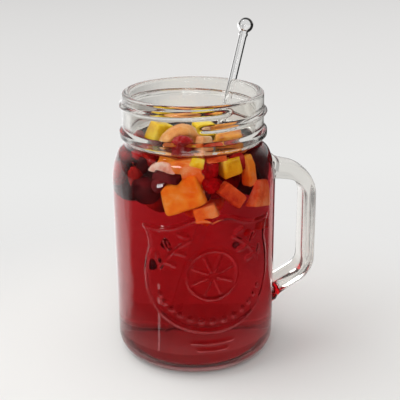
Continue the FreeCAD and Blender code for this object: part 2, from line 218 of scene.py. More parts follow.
def closed_grid(grid):
    """Points and faces of a grid whose columns wrap round, with each end closed by a fan to the
    middle of its row.  Rows run so that the faces point outwards when columns turn anticlockwise
    and rows rise."""
    rows, columns = grid.shape[:2]
    points = np.concatenate([grid.reshape(-1, 3), grid[0].mean(0)[None], grid[-1].mean(0)[None]])
    column = np.arange(columns)
    beside = (column + 1) % columns
    first = np.full(columns, rows * columns)
    low = np.stack([first, beside, column], axis=1)
    top = (rows - 1) * columns
    high = np.stack([first + 1, top + column, top + beside], axis=1)
    return points, grid_faces(rows, columns).tolist() + low.tolist() + high.tolist()


def new_piece(name, parts, material=None):
    """One smooth-shaded mesh object at the origin from a list of (points in mm, faces)."""
    points = []
    faces = []
    start = 0
    for part_points, part_faces in parts:
        points.append(part_points)
        faces += [[index + start for index in face] for face in part_faces]
        start += len(part_points)
    mesh = bpy.data.meshes.new(name)
    mesh.from_pydata((np.concatenate(points) * MM).tolist(), [], faces)
    mesh.polygons.foreach_set("use_smooth", np.ones(len(mesh.polygons), bool))
    mesh.update()
    piece = bpy.data.objects.new(name, mesh)
    bpy.context.collection.objects.link(piece)
    if material:
        mesh.materials.append(material)
    return piece


def dress(piece, slot, *nodes):
    """Rides the piece on the one body and hides the nodes it stands for.  The slot is not used."""
    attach(piece, "root")
    if nodes:
        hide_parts(*nodes)
    return piece


# ------------------------------------------------------------------ materials
def linear(code):
    """sRGB hex to linear colour: (c + 0.055) / 1.055 to the power 2.4, or c / 12.92 when dark."""
    shares = [int(code[k:k + 2], 16) / 255.0 for k in (0, 2, 4)]
    return tuple(c / 12.92 if c <= 0.04045 else ((c + 0.055) / 1.055) ** 2.4 for c in shares)


def add(tree, kind, links=(), values=(), stops=(), **settings):
    """Adds one shader node.  A setting names an attribute, or a socket with _ for a space, and
    values are (socket number, value).  Links are (socket name or number, output of another node),
    where a node stands for its first output.  Stops are a colour ramp's (place, hex code)."""
    node = tree.nodes.new(kind)
    sockets = {socket.name.replace(" ", "_"): socket for socket in reversed(node.inputs)}
    for key, value in settings.items():
        if hasattr(node, key):
            setattr(node, key, value)
        else:
            socket = sockets[key]
            if socket.type == "RGBA" and len(value) == 3:
                value = (*value, 1.0)
            socket.default_value = value
    for number, value in values:
        node.inputs[number].default_value = value
    for key, source in links:
        output = source if isinstance(source, bpy.types.NodeSocket) else source.outputs[0]
        tree.links.new(output, node.inputs[key])
    if stops:
        elements = node.color_ramp.elements
        while len(elements) < len(stops):
            elements.new(0.5)
        for element, (place, code) in zip(elements, stops):
            element.position = place
            element.color = (*linear(code), 1.0)
    return node


def new_material(name):
    """An empty material and its node tree."""
    material = bpy.data.materials.new(name)
    material.use_nodes = True
    material.node_tree.nodes.clear()
    return material, material.node_tree


def by_ray(tree, shader, *choices):
    """A shader that differs by the kind of ray: for each (kind, other shader) in turn, the other
    is mixed over what there is wherever the ray is of that kind."""
    path = add(tree, "ShaderNodeLightPath")
    for kind, other in choices:
        shader = add(tree, "ShaderNodeMixShader",
                     links=[("Fac", path.outputs["Is " + kind + " Ray"]), (1, shader), (2, other)])
    return shader


def let_light_by(tree, shader, tint):
    """Clear for lamps and for light that has bounced off a matt surface, and the given shader for
    everything that is seen."""
    clear = add(tree, "ShaderNodeBsdfTransparent", Color=linear(tint))
    return by_ray(tree, shader, ("Diffuse", clear), ("Shadow", clear))


def pressed_glass(name="soda_lime_glass_pressed", ior=1.5, tint="EDEDED", roughness=0.0, body=None):
    """Soda-lime glass pressed in a mould and fire-polished: clear, with a faint orange-peel
    waviness from the mould.  Where drink wets it, the step from 1.5 to 1.34 bends light by 1.12,
    which takes the shine off the inner wall.  The foot it stands on is stippled, which blurs it.
    A body colour greyer than the glass's own is painted shade, and a dark tint for lamps casts a
    darker shadow than clear glass would."""
    peel = 110.0  # waves a metre, so each is some 9 mm wide
    material, tree = new_material(name)
    place = add(tree, "ShaderNodeTexCoord")
    wave = add(tree, "ShaderNodeTexNoise", [("Vector", place.outputs["Object"])], Scale=peel, Detail=1.0)
    bump = add(tree, "ShaderNodeBump", [("Height", wave)], Strength=0.10, Distance=0.6 * MM)
    glass = add(tree, "ShaderNodeBsdfPrincipled", [("Normal", bump)], Roughness=roughness, IOR=ior,
                Base_Color=linear(body or bpy.context.scene.soda_glass.tint), Transmission_Weight=1.0)
    add(tree, "ShaderNodeOutputMaterial", [("Surface", let_light_by(tree, glass, tint))])
    return material


def red_soda(name, ior):
    """Fruit soda: clear, wet, and deep red because it takes green and blue out of the light.  Its
    sides lie in the glass, whose wetted face does the bending, so only its surface bends light."""
    material, tree = new_material(name)
    look = bpy.context.scene.soda_drink
    losses = (look.red_loss, look.green_loss, look.blue_loss)
    liquid = add(tree, "ShaderNodeBsdfPrincipled", Base_Color=(1.0, 1.0, 1.0), Roughness=0.0,
                 IOR=ior, Transmission_Weight=1.0)
    volume = add(tree, "ShaderNodeVolumeAbsorption", Density=max(losses),
                 Color=tuple(1.0 - loss / max(losses) for loss in losses))
    add(tree, "ShaderNodeOutputMaterial",
        [("Surface", let_light_by(tree, liquid, "FFFFFF")), ("Volume", volume)])
    return material


def flesh(name, stops, roughness, bumpiness, seed, wet):
    """Cut or whole fruit: patches and mottle between the stops, cell grain as relief, and a wet
    coat.  In the drink the juice takes the shine away."""
    patches, specks, grains = 120.0, 420.0, 1140.0  # a metre: some 8, 2.4 and 0.9 mm across
    mottled = 0.42  # share of the specks in the colour
    material, tree = new_material(name)
    place = add(tree, "ShaderNodeTexCoord")
    move = add(tree, "ShaderNodeMapping", [("Vector", place.outputs["Object"])],
               Location=(seed, seed * 0.7, -seed))
    patch = add(tree, "ShaderNodeTexNoise", [("Vector", move)], Scale=patches, Detail=1.0)
    mottle = add(tree, "ShaderNodeTexNoise", [("Vector", move)], Scale=specks, Detail=4.0,
                 Roughness=0.65)
    mixed = add(tree, "ShaderNodeMix", [(2, patch), (3, mottle)], [(0, mottled)], data_type="FLOAT")
    shade = add(tree, "ShaderNodeValToRGB", [("Fac", mixed)], stops=stops)
    cells = add(tree, "ShaderNodeTexNoise", [("Vector", move)], Scale=grains, Detail=2.0)
    bump = add(tree, "ShaderNodeBump", [("Height", cells)], Strength=bumpiness, Distance=0.4 * MM)
    skin = add(tree, "ShaderNodeBsdfPrincipled", [("Base Color", shade), ("Normal", bump)],
               Roughness=roughness, Specular_IOR_Level=0.35 if wet else 0.04,
               Coat_Weight=0.25 if wet else 0.0, Coat_Roughness=0.08)
    add(tree, "ShaderNodeOutputMaterial", [("Surface", skin)])
    return material


def clear_stick(name, ior):
    """Clear acrylic, extruded and polished: a bright rod with dark edges in air, and hardly there
    where it stands in the drink."""
    material, tree = new_material(name)
    rod = add(tree, "ShaderNodeBsdfPrincipled", Base_Color=linear("FAFAFA"), Roughness=0.0,
              IOR=ior, Transmission_Weight=1.0)
    add(tree, "ShaderNodeOutputMaterial", [("Surface", let_light_by(tree, rod, "E4E4E4"))])
    return material


def second_finish(piece, material, chosen):
    """Gives the piece one more material on the faces whose middle the test picks, in millimetres."""
    mesh = piece.data
    mesh.materials.append(material)
    middles = np.zeros(len(mesh.polygons) * 3)
    mesh.polygons.foreach_get("center", middles)
    slots = np.zeros(len(mesh.polygons), np.int32)
    mesh.polygons.foreach_get("material_index", slots)
    slots[chosen(middles.reshape(-1, 3) / MM)] = len(mesh.materials) - 1
    mesh.polygons.foreach_set("material_index", slots)


# ------------------------------------------------------------------ jar mug
def jar_corners(glass):
    """The jar's section, (radius, height, rounding, step), from the middle of the floor inside, up
    the inner wall, over the rim and down outside to the middle of the foot."""
    pole = 0.3  # radius of the hole that a fan closes at each end
    taper = 0.4  # how much narrower the body is at its foot
    level = bpy.context.scene.soda_drink.level
    bore = glass.neck_radius - glass.neck_wall
    side = glass.body_radius - glass.wall
    body, neck = glass.body_radius, glass.neck_radius
    shoulder_inside, throat = 93.2, 103.5
    thread_foot, bead, bead_top, bead_low = 115.2, 1.6, 113.6, 111.0
    groove, groove_top, groove_low = 1.0, 108.4, 106.2
    shoulder, shoulder_low, wall_top, heel = 103.4, 95.5, 88.0, 14.0
    ring, push_up, ground = body - 8.6, 1.0, 0.02
    return [
        (pole, glass.floor, 0, 9), (side - taper, glass.floor, 6.8, 6),
        (side - taper, glass.floor + 13.5, 0, 4), (side, shoulder_inside, 13.6, 8),
        (bore, throat, 6.1, 1.5), (bore, level, 0, 1.5), (bore, glass.rim_height, 2.2, 3.5),
        (neck, glass.rim_height, 1.3, 1), (neck, thread_foot, 0.8, 0.6),
        (neck + bead, bead_top, 1.17, 0.6), (neck + bead, bead_low, 1.17, 0.6),
        (neck - groove, groove_top, 1.0, 0.6), (neck - groove, groove_low, 1.6, 0.6),
        (body - 3.4, shoulder, 5.7, 0.7), (body, shoulder_low, 34.0, 0.9),
        (body - taper * 0.1, wall_top, 0, 0.7), (body - taper, heel, 0, 0.58),
        (body - taper, ground, 10.0, 0.8), (ring - 2.6, ground, 0.6, 1.5),
        (ring - 3.6, push_up, 0.7, 0.6), (pole, push_up, 0, 9),
    ]


def jar_angles():
    """Angles round the jar from -Y, closer together over the 116 degrees of the raised design."""
    half = math.radians(58.0)
    front = np.linspace(-half, half, 220, endpoint=False)
    rest = np.linspace(half, 2.0 * math.pi - half, 72, endpoint=False)
    return np.concatenate([front, rest])


def thread_height(around, height, rise):
    """The screw thread as a swelling of the neck.  The ridge's middle climbs 6.35 mm a turn from
    120.8 mm, it is a squared cosine 3.6 mm wide, and it fades in and out at its two ends."""
    pitch, start, turns, half = 6.35, 120.8, 1.085, 1.8
    begin = math.radians(-10.0)
    fade_in, fade_out = 0.03, 0.05  # of a turn
    total = np.zeros_like(around)
    for lap in (0, 1):
        turn = (around - begin) / (2.0 * math.pi) % 1.0 + lap
        away = np.abs(height - start - pitch * turn)
        ridge = np.where(away < half, np.cos(0.5 * math.pi * away / half) ** 2, 0.0)
        fade = smooth(0.0, fade_in, turn) * (1.0 - smooth(turns - fade_out, turns, turn))
        total = np.maximum(total, ridge * fade * rise)
    return total


def arc(middle, radii, low, high):
    """Points about 0.35 mm apart on an ellipse's arc from a low to a high angle in degrees, as
    (across, up) in mm."""
    count = max(8, int(abs(high - low) * max(radii) * 0.05))
    angle = np.radians(np.linspace(low, high, count))
    return np.stack([middle[0] + radii[0] * np.cos(angle), middle[1] + radii[1] * np.sin(angle)], 1)


def bow(start, pull, end):
    """Sixty points on the parabola from start to end that a third point pulls towards itself, each
    a sum of the three: (1 - t)^2, 2t(1 - t) and t^2 of them."""
    start, pull, end = (np.array(point, float) for point in (start, pull, end))
    share = np.linspace(0.0, 1.0, 60)[:, None]
    return (1 - share) ** 2 * start + 2 * share * (1 - share) * pull + share ** 2 * end


def raised_design():
    """The curves of the raised design on the front, each with its half width: a shield frame, a
    slice of citrus between two sprigs, pearls along the frame's foot and two rules below it."""
    frame_line, fine, leaf, pearl = 0.72, 0.56, 1.0, 0.8
    edge = 32.0
    centre = np.array([0.0, 54.0])
    curves = [(arc((0.0, 50.0), (edge, 24.5), 180, 360), frame_line)]
    for side in (-1.0, 1.0):
        for points in (((edge, 50), (edge + 0.6, 58), (edge - 2.5, 66)),
                       ((edge - 2.5, 66), (edge - 3.0, 73), (edge + 0.5, 76.5)),
                       ((edge + 0.5, 76.5), (20, 75), (12, 79.5)),
                       ((12, 79.5), (6, 83), (0, 80))):
            curves.append((bow(*[(side * x, y) for x, y in points]), frame_line))
        stem = ((24.5, 57), (20, 66), (10, 71.5))
        curves.append((bow(*[(side * x, y) for x, y in stem]), fine))
        for x, y, tilt in ((25.4, 61.6, 80), (19.6, 59.6, 200), (21.0, 68.8, 60), (14.8, 65.0, 195),
                           (13.4, 73.8, 20)):
            turn = math.radians(tilt if side > 0 else 180 - tilt)
            way = np.array([math.cos(turn), math.sin(turn)]) * 1.7
            hollow = np.array([-way[1], way[0]]) * 0.3
            middle = np.array([side * x, y])
            curves.append((bow(middle - way, middle + hollow, middle + way), leaf))
    curves.append((arc(centre, (12.0, 12.0), 0, 360), fine * 1.15))
    for spoke in range(8):
        angle = math.radians(45.0 * spoke + 22.5)
        way = np.array([math.cos(angle), math.sin(angle)])
        curves.append((bow(centre + way * 2.2, centre + way * 6, centre + way * 9.8), fine))
    for number in range(13):
        angle = math.radians(200.0 + 140.0 / 12 * number)
        x, y = 26.6 * math.cos(angle), 50.0 + 19.4 * math.sin(angle)
        curves.append((arc((x, y), (0.5, 0.5), 0, 360), pearl))
    for height, half in ((19.6, 10.0), (15.8, 7.0)):
        curves.append((bow((-half, height), (0.0, height - 0.8), (half, height)), fine))
    return curves


def relief_height(across, up, rise):
    """Height of the raised design: each curve is a low bead, one less the squared distance to it
    over its reach, to the power 1.2, and the highest wins where they meet."""
    spread, power = 1.5, 1.2  # a bead's reach is the spread times its half width
    margin = 2.2  # how far from a curve its bead is worked out
    total = np.zeros_like(across)
    for points, half in raised_design():
        low = points.min(0) - margin
        high = points.max(0) + margin
        near = (across > low[0]) & (across < high[0]) & (up > low[1]) & (up < high[1])
        place = np.stack([across[near], up[near]], 1)
        away = np.sqrt(((place[:, None] - points[None]) ** 2).sum(2)).min(1)
        bead = np.clip(1.0 - (away / (spread * half)) ** 2, 0.0, 1.0) ** power
        total[near] = np.maximum(total[near], bead * rise)
    return total


def jar_surface(glass):
    """The jar's closed surface: its section turned about Z, with the thread and the raised design
    added to the radius of the outer wall.  The design gets shallower towards the handle."""
    wall_foot, design_top, thread_low, thread_high = 12.0, 90.0, 116.5, 130.5
    half, fall_start, fall_end = (math.radians(turn) for turn in (57.0, 26.0, 42.0))
    fallen = 0.6  # share of the design's height that is gone by the handle
    section = rounded_path(jar_corners(glass))
    angle, radius = np.meshgrid(jar_angles(), section[:, 0])
    height = np.broadcast_to(section[:, 1][:, None], radius.shape)
    outside = np.arange(len(section)) > int(np.argmax(section[:, 1]))
    wall = outside[:, None] & (height > wall_foot)
    wrapped = (angle + math.pi) % (2.0 * math.pi) - math.pi
    swell = np.zeros_like(radius)
    neck = wall & (height > thread_low) & (height < thread_high)
    swell[neck] = thread_height(wrapped[neck], height[neck], glass.thread_rise)
    front = wall & (height < design_top) & (np.abs(wrapped) < half)
    shallow = 1.0 - fallen * smooth(fall_start, fall_end, wrapped[front])
    swell[front] = shallow * relief_height(wrapped[front] * glass.body_radius, height[front],
                                           glass.relief)
    return closed_grid(from_front(radius + swell, angle, height)[::-1])


def handle_surface(glass):
    """The strap: a rounded rectangle, a superellipse of power 3.4, carried along a bent centre line
    in the plane y = 0, thicker in its arms and flaring where they run into the wall."""
    strap, half_width = 7.3, 7.0
    thicker_above, thicker_below, flare_out, flare_wide = 1.0, 0.3, 1.3, 1.6
    sunk_in, flare_fall = 2.0, 1.5
    root = glass.body_radius - 2.6
    centre = glass.reach - strap / 2.0
    line = rounded_path([(root, 91.7, 0, 1), (centre, 87.2, 13.6, 1.0), (centre, 36.6, 11.6, 1.6),
                         (root, 25.1, 0, 1.0)])
    along = np.gradient(line, axis=0)
    along /= np.linalg.norm(along, axis=1)[:, None]
    normal = np.stack([-along[:, 1], along[:, 0]], 1)
    walked = np.concatenate([[0.0], np.cumsum(np.linalg.norm(np.diff(line, axis=0), axis=1))])
    left = walked[-1] - walked
    upper = 1.0 - smooth(6.0, 24.0, walked)
    lower = 1.0 - smooth(5.0, 20.0, left)
    flare = (np.exp(-np.maximum(walked - sunk_in, 0.0) / flare_fall)
             + np.exp(-np.maximum(left - sunk_in, 0.0) / flare_fall))
    flare = np.clip(flare, 0.0, 1.0)
    thick = strap / 2.0 + thicker_above * upper + thicker_below * lower + flare_out * flare
    wide = half_width + flare_wide * flare
    around = whole_turn(44)
    across, out = (np.sign(wave) * np.abs(wave) ** (2.0 / 3.4) for wave in (np.cos(around), np.sin(around)))
    middle = line[:, None] + normal[:, None] * thick[:, None, None] * out[None, :, None]
    return closed_grid(np.stack([middle[..., 0], wide[:, None] * across, middle[..., 1]], -1))


def joined(piece, other):
    """The solid union of two closed pieces, as one mesh; the other piece is used up."""
    union = piece.modifiers.new("union", "BOOLEAN")
    union.operation = "UNION"
    union.solver = "EXACT"
    union.object = other
    graph = bpy.context.evaluated_depsgraph_get()
    mesh = bpy.data.meshes.new_from_object(piece.evaluated_get(graph))
    piece.modifiers.clear()
    old = piece.data
    piece.data = mesh
    mesh.name = old.name + "_whole"
    bpy.data.meshes.remove(old)
    bpy.data.objects.remove(other)
    return piece


class SODA_OT_glass(bpy.types.Operator):
    """Make the pressed-glass jar mug, handle and all, as one mesh"""
    bl_idname = "soda.glass"
    bl_label = "Jar mug"

    def execute(self, context):
        glass = context.scene.soda_glass
        jar = new_piece("jar_mug", [jar_surface(glass)])
        mug = joined(jar, new_piece("strap", [handle_surface(glass)]))
        mug.data.materials.clear()
        mug.data.materials.append(pressed_glass())
        mug.data.polygons.foreach_set("use_smooth", np.ones(len(mug.data.polygons), bool))
        level = context.scene.soda_drink.level
        bore = glass.neck_radius - glass.neck_wall
        inside = glass.body_radius - glass.wall
        throat, film, under_floor = 103.0, 0.35, 0.3
        heel_top, heel_gap, foot_top = 13.0, 0.8, 2.4

        # Which faces take another finish, by where the middle of each lies: those in the drink,
        # those low on the outside, and those of the foot.  The last two are greyer and pass less light:
        # painted shade on the base and a darker shadow under it.
        def away(middle):
            return np.hypot(middle[:, 0], middle[:, 1])

        def wetted(middle):
            reach = np.where(middle[:, 2] > throat, bore, inside) + film
            above = middle[:, 2] > glass.floor - under_floor
            return (away(middle) < reach) & (middle[:, 2] < level) & above

        def heel(middle):
            return (middle[:, 2] < heel_top) & (away(middle) > inside + heel_gap)

        def foot(middle):
            return middle[:, 2] < foot_top

        second_finish(mug, pressed_glass("soda_lime_glass_wetted", 1.12), wetted)
        # Greyer glass on the heel and the foot is painted shade, and their dark lamp tint, 808080, casts a
        # darker shadow under and round the base.
        second_finish(mug, pressed_glass("soda_lime_glass_heel", 1.3, "808080", body="CFCDC8"), heel)
        second_finish(mug, pressed_glass("soda_lime_glass_stippled", 1.4, "808080", 0.3, "C4C2BD"), foot)
        dress(mug, "pressed_glass", "glass_mug")
        return {"FINISHED"}


# ------------------------------------------------------------------ drink
class SODA_OT_drink(bpy.types.Operator):
    """Make the soda: the glass's inside up to the level, a little into the wall"""
    bl_idname = "soda.drink"
    bl_label = "Drink"

    def execute(self, context):
        glass = context.scene.soda_glass
        level = context.scene.soda_drink.level
        into_wall = 0.12
        floor_edge, below, pole = 26.0, 0.8, 0.3
        creep, creep_fall, hollow = 1.1, 1.3, 0.15  # the liquid climbs the wall and sags inside it
        calm_width, swing, wave = 4.0, 0.12, 17.0
        under, rim = 0.45, 0.05  # how far below and from the edge the surface's faces are taken
        section = rounded_path(jar_corners(glass)[:7])
        section = section[section[:, 1] < level - below]
        section[:, 0] += into_wall
        section[:, 1] -= into_wall * (section[:, 0] < floor_edge)
        bore = glass.neck_radius - glass.neck_wall + into_wall
        radii = bore * (1.0 - np.linspace(0.0, 1.0, 26) ** 1.5)
        radii[-1] = pole
        climb = creep * np.exp(-(bore - radii) / creep_fall)
        section = np.concatenate([section, np.stack([radii, level - hollow + climb], 1)])
        grid = turned_about(section, 160)
        top = grid[..., 2] > level - 0.5
        calm = smooth(0.0, calm_width, bore - section[:, :1])
        grid[..., 2] += top * calm * swing * ripple(grid, wave, 5, 2)
        drink = new_piece("red_soda", [closed_grid(grid)], red_soda("fruit_soda_at_the_wall", 1.0))
        second_finish(drink, red_soda("fruit_soda_surface", 1.34),
                      lambda middle: (middle[:, 2] > level - under)
                      & (np.hypot(middle[:, 0], middle[:, 1]) < bore - rim))
        dress(drink, "red_soda", "drink")
        return {"FINISHED"}


# ------------------------------------------------------------------ stirrer
class SODA_OT_stirrer(bpy.types.Operator):
    """Make the clear stirrer: a straight rod with a round tip, a small collar and a ball"""
    bl_idname = "soda.stirrer"
    bl_label = "Stirrer"

    def execute(self, context):
        rod, ball = 2.0, 3.9
        collar, collar_place, collar_width = 0.35, 4.6, 0.8
        top = STICK_HIGH - ball
        foot = STICK_LOW + rod
        reach = float(np.linalg.norm(top - foot))
        section = [(0.05, -rod)]
        section += [(rod * math.sin(t), -rod * math.cos(t)) for t in np.linspace(0.2, 1.57, 8)]
        section += [(rod, z) for z in np.linspace(4.0, reach - 6.5, 24)]
        section += [(rod + collar * math.exp(-((z + collar_place) / collar_width) ** 2), reach + z)
                    for z in np.linspace(-6.2, -3.4, 12)]
        join = math.asin(rod / ball)
        section += [(ball * math.sin(t), -ball * math.cos(t) + reach)
                    for t in np.linspace(join + 0.06, math.pi - 0.02, 28)]
        local = turned_about(np.array(section), 40)
        up = (top - foot) / reach
        side = np.cross([0.0, 0.0, 1.0], up)
        side /= np.linalg.norm(side)
        grid = local @ np.stack([np.cross(side, up) * -1.0, side, up]) + foot
        stick = new_piece("stirrer_rod", [closed_grid(grid)], clear_stick("acrylic_polished", 1.49))
        second_finish(stick, clear_stick("acrylic_in_drink", 1.02),
                      lambda middle: middle[:, 2] < context.scene.soda_drink.level)
        dress(stick, "clear_stirrer", "stirrer")
        return {"FINISHED"}


# ------------------------------------------------------------------ fruit shapes
def ball_angles(rows, columns):
    """Grids of the turn about Z and the rise from -90 to 90 degrees over a ball, row by row from
    the bottom, its poles left just open."""
    rise = np.linspace(-0.5 * math.pi + 0.02, 0.5 * math.pi - 0.02, rows)
    return np.meshgrid(whole_turn(columns), rise)


def block():
    """A rounded block of half size 1: a grid on each face of a cube, every point divided by the sum
    of its coordinates to the power, to one over the power, which rounds off edges and corners."""
    count, power = 13, 9.0
    line = np.linspace(-1.0, 1.0, count + 1)
    u, v = np.meshgrid(line, line, indexing="ij")
    points = []
    faces = []
    for axis in range(3):
        for side in (-1.0, 1.0):
            sheet = np.zeros((count + 1, count + 1, 3))
            sheet[..., axis] = side
            sheet[..., (axis + 1) % 3] = side * u
            sheet[..., (axis + 2) % 3] = v
            start = len(points) * (count + 1) ** 2
            faces.append(grid_faces(count + 1, count + 1, wrap=False)[:, ::-1] + start)
            points.append(sheet.reshape(-1, 3))
    merged, place = np.unique(np.round(np.concatenate(points), 6), axis=0, return_inverse=True)
    merged = merged / (np.abs(merged) ** power).sum(1, keepdims=True) ** (1.0 / power)
    return merged, place.ravel()[np.concatenate(faces)].tolist()


def cut_chunk(size, middle, turn, seed, taper=0.08):
    """A knife-cut block: a rounded block that narrows upwards by its taper, leans a little by
    seeded draws, and ripples gently over its faces."""
    draw = np.random.default_rng(seed)
    points, faces = block()
    shrink = 1.0 - taper * (points[:, 2:] + 1.0)
    lean = draw.uniform(-0.10, 0.10, 3)
    local = points * np.concatenate([shrink, shrink, np.ones_like(shrink)], 1)
    local = local + lean * points[:, [1, 2, 0]]
    local = local * (np.array(size) / 2.0)
    local *= 1.0 + 0.025 * ripple(local, 8.0, seed + 1)[:, None]
    return placed(local, turn, middle), faces


def inner_radius(height):
    """Radius of the glass's inner wall at a height, read off its section."""
    section = rounded_path(jar_corners(bpy.context.scene.soda_glass)[:7])
    return np.interp(height, section[:, 1], section[:, 0])


def clear_of_wall(shape):
    """Moves a shape down below the surface, and in four goes towards the axis, until it is clear of
    both by its gaps."""
    gap, depth = 0.5, 1.2
    points, faces = shape
    points[:, 2] -= max(0.0, points[:, 2].max() - bpy.context.scene.soda_drink.level + depth)
    for _ in range(4):
        middle = points.mean(0)[:2]
        over = (np.hypot(points[:, 0], points[:, 1]) - inner_radius(points[:, 2]) + gap).max()
        if over > 0.0:
            points[:, :2] -= middle / np.linalg.norm(middle) * over
    return points, faces


def fruit_slice(radius, hollow, spread, middle, turn, seed):
    """A slice of a round fruit: its section, a wedge between two radii with rounded corners, is
    turned half way round the core line, X, from one end to the other."""
    half = math.radians(spread) / 2.0
    inner, outer = hollow * math.tan(half), radius * math.sin(half)
    corners = [(hollow + 0.5, 0.0, 0, 1), (hollow, -inner, 0.5, 1),
               (radius * math.cos(half), -outer, 1.3, 1.2), (radius, 0.0, 4.0, 1),
               (radius * math.cos(half), outer, 1.3, 1), (hollow, inner, 0.5, 1.2),
               (hollow + 0.5, 0.001, 0, 1)]
    section = rounded_path(corners)[:-1]
    sweep = np.linspace(math.pi, 0.0, 40)
    turn_angle, reach = np.meshgrid(sweep, section[:, 0], indexing="ij")
    side = np.broadcast_to(section[:, 1][None], reach.shape)
    local = np.stack([reach * np.cos(turn_angle), side, reach * np.sin(turn_angle)], -1)
    local += 0.25 * ripple(local, 9.0, seed)[..., None]
    return closed_grid(placed(local[::-1], turn, middle))


def raspberry(length_mm, radius, middle, turn, seed):
    """A raspberry: a blunt cone whose surface swells to a dome over each drupelet.  The drupelets
    sit on a spiral of golden angles, and a dome's height is the root of one less the squared
    distance to the nearest middle, over the drupelet's size."""
    count, spread = 46, 0.36  # drupelets, and the reach of each in radians
    waist, core, swell = 0.16, 0.80, 0.22
    angle, rise = ball_angles(64, 84)
    way = round_z(np.cos(rise), angle, np.sin(rise))
    number = np.arange(count) + 0.5
    height = 1.0 - 2.0 * number / count
    golden = number * math.pi * (3.0 - math.sqrt(5.0))
    heads = round_z(np.sqrt(1.0 - height ** 2), golden, height)
    away = np.arccos(np.clip(way @ heads.T, -1.0, 1.0)).min(-1) / spread
    dome = np.sqrt(np.clip(1.0 - np.minimum(away, 1.0) ** 2, 0.0, 1.0))
    local = way * np.array([radius, radius, length_mm / 2.0])
    local[..., :2] *= (1.0 - waist * way[..., 2])[..., None]
    local *= (core + swell * dome)[..., None]
    local += 0.12 * ripple(local, 5.0, seed, 2)[..., None]
    return closed_grid(placed(local, turn, middle))


def half_strawberry(radius, length_mm, middle, turn, seed):
    """Half a strawberry: a drop, its radius the cosine of the rise and fuller towards its top by a
    share of the sine, flattened on the cut side.  The pits for the seeds are cubed products of two
    sine waves, one round the berry and one along it, where the second is shifted from row to row."""
    fuller, pit_depth, flattened = 0.28, 0.35, 0.16
    angle, rise = ball_angles(44, 60)
    up = np.sin(rise)
    girth = radius * np.cos(rise) * (1.0 + fuller * up)
    x = girth * np.cos(angle)
    y = girth * np.sin(angle)
    z = up * length_mm / 2.0
    pit_place = angle * 3.5
    pits = np.maximum(0.0, np.sin(pit_place * 2.0) * np.sin(z * 2.3 + np.round(pit_place / math.pi)))
    x = x - pit_depth * pits ** 3 * np.cos(angle)
    y = y - pit_depth * pits ** 3 * np.sin(angle)
    y = np.where(y < 0.0, y * flattened, y)
    local = np.stack([x, y, z], -1)
    local += 0.15 * ripple(local, 6.0, seed, 2)[..., None]
    return closed_grid(placed(local, turn, middle))


def round_fruit(size, middle, turn, seed):
    """A plum or blueberry: a ball stretched to its size and a twentieth fuller at the top, with a
    dent there whose depth is a bell curve of the angle from the pole."""
    fuller, dent, dent_width = 0.05, 0.03, 0.28
    angle, rise = ball_angles(36, 48)
    pole = 1.5708
    girth = np.cos(rise)
    full = 1.0 + fuller * np.sin(rise)
    local = np.stack([girth * np.cos(angle) * full, girth * np.sin(angle) * full,
                      np.sin(rise) - dent * np.exp(-((pole - rise) / dent_width) ** 2)], -1)
    local = local * (np.array(size) / 2.0)
    local += 0.18 * ripple(local, 9.0, seed, 2)[..., None]
    return closed_grid(placed(local, turn, middle))


# Each kind of fruit: its material, and its dark, main and pale colour with their places between
# the patches.  Where a user may set a kind's colour, that takes the place of the main one.
FLESH = {
    "mango": ("mango_flesh_cut", ("E8AE10", 0.36), ("FFDA28", 0.52), ("FFEE70", 0.70)),
    "melon": ("melon_flesh_cut", ("DC8040", 0.34), ("F0A458", 0.52), ("F8CE94", 0.70)),
    "peach": ("peach_flesh_cut", ("D8741E", 0.36), ("F2A43C", 0.52), ("F9CE74", 0.70)),
    "papaya": ("papaya_flesh_cut", ("F0601A", 0.36), ("FF9238", 0.50), ("FFC478", 0.66)),
    "papaya_pale": ("papaya_flesh_pale", ("FA7A18", 0.34), ("FFA930", 0.52), ("FFCC68", 0.70)),
    "papaya_red": ("papaya_flesh_red", ("C8381A", 0.34), ("EC6C30", 0.52), ("F8A068", 0.70)),
    "apple": ("apple_flesh_soaked", ("E8683C", 0.34), ("F3A566", 0.52), ("FAE0B4", 0.70)),
    "raspberry": ("raspberry_skin", ("780408", 0.34), ("B80A12", 0.54), ("D0262E", 0.74)),
    "strawberry": ("strawberry_flesh", ("6E0C0A", 0.34), ("B01E18", 0.54), ("D85646", 0.76)),
    "plum": ("plum_skin_glossy", ("340A0E", 0.36), ("5A181C", 0.54), ("8A2C30", 0.74)),
    "blueberry": ("blueberry_skin", ("3A0E14", 0.36), ("5C161E", 0.54), ("7E2C30", 0.74)),
    "plum_flesh": ("plum_flesh_cut", ("D4604C", 0.34), ("F8C0A4", 0.48), ("FFF0DC", 0.62)),
}
WHOLE = ("raspberry", "plum", "blueberry")


def fruit_look(kind, wet=True):
    """The flesh or skin of a kind of fruit, in air or in the drink, made once and shared."""
    name, *stops = FLESH[kind]
    name += "_wet" if wet else "_in_drink"
    if name in bpy.data.materials:
        return bpy.data.materials[name]
    chosen = getattr(bpy.context.scene.soda_fruit, kind, None)
    stops[1] = (chosen or stops[1][0], stops[1][1])
    roughness, bumpiness = (0.22, 0.2) if kind in WHOLE else (0.34, 0.5)
    seed = 0.01 * (1 + list(FLESH).index(kind))
    return flesh(name, [(place, code) for code, place in stops], roughness, bumpiness, seed, wet)


def middle_of(node):
    """The middle of a CAD node's box, in mm."""
    low, high = node_box(node)
    return (low + high) / 2.0


